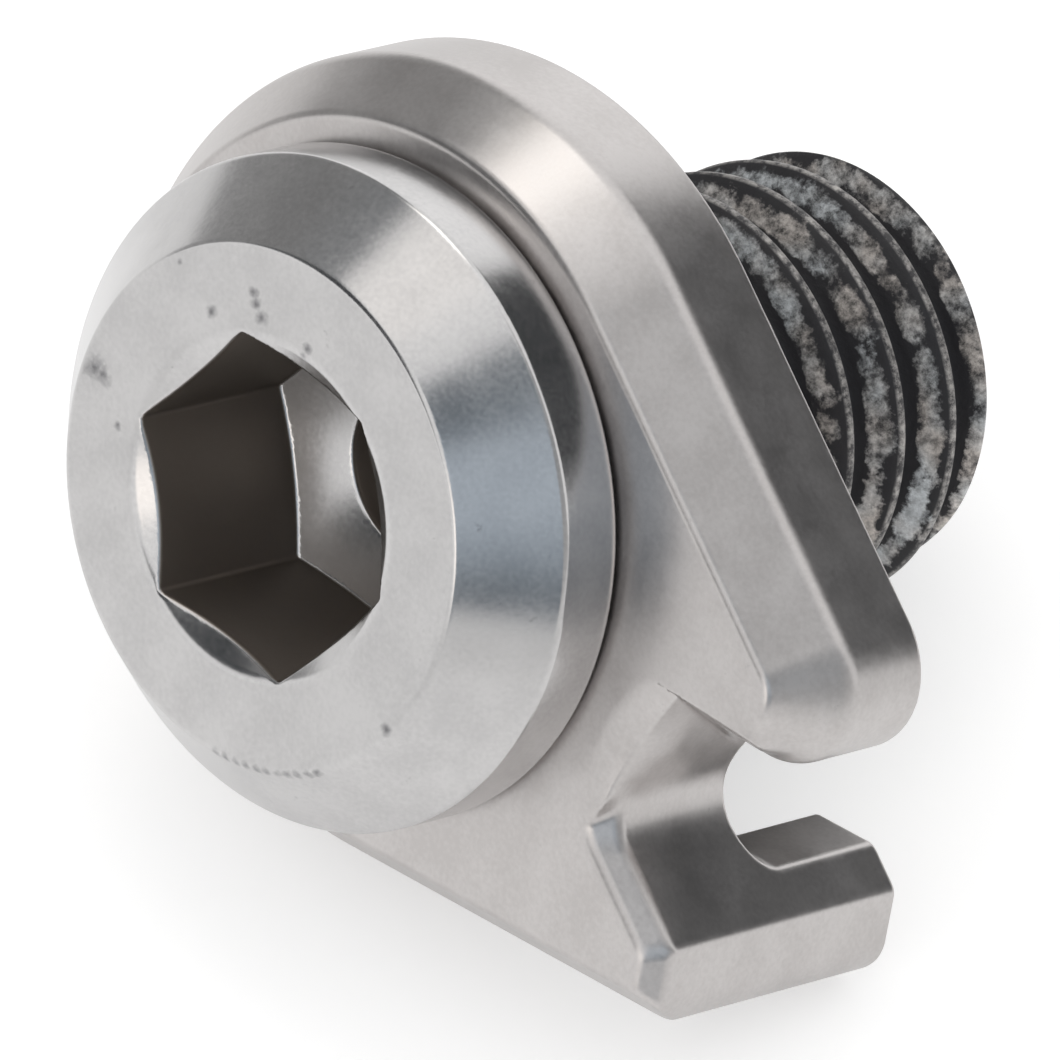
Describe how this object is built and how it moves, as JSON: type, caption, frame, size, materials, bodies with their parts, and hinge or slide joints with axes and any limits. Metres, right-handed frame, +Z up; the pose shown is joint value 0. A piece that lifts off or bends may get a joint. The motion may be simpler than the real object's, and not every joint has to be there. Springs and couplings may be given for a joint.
{
  "type": "cable clamp bolt",
  "caption": "Hex socket bolt with a bevelled head and a teardrop clamp plate under it; the plate's notch and rear prong guide a cable and keep the plate from turning.",
  "frame": {"origin": "on the bolt axis where the full thread starts, just behind the plate's rear clamping face", "axes": "+Z up as the part lies on a table; the bolt axis lies in the YZ plane with the head towards -Y and raised, and the thread tip down towards +Y"},
  "size_m": [0.0133, 0.0129, 0.0107],
  "materials": {
    "bolt_steel": "satin tumbled steel, worn dark coating in the thread",
    "plate_steel": "satin tumbled steel with bright rounded edges"
  },
  "bodies": {
    "plate": {"clamp_plate": "plate_steel"},
    "bolt": {"clamp_bolt": "bolt_steel"}
  },
  "joints": [
    {"name": "bolt_turn", "type": "hinge", "parent": "plate", "child": "bolt", "pos_m": [0, 0, 0], "axis": [0, 0.9309, -0.3653], "continuous": true}
  ]
}
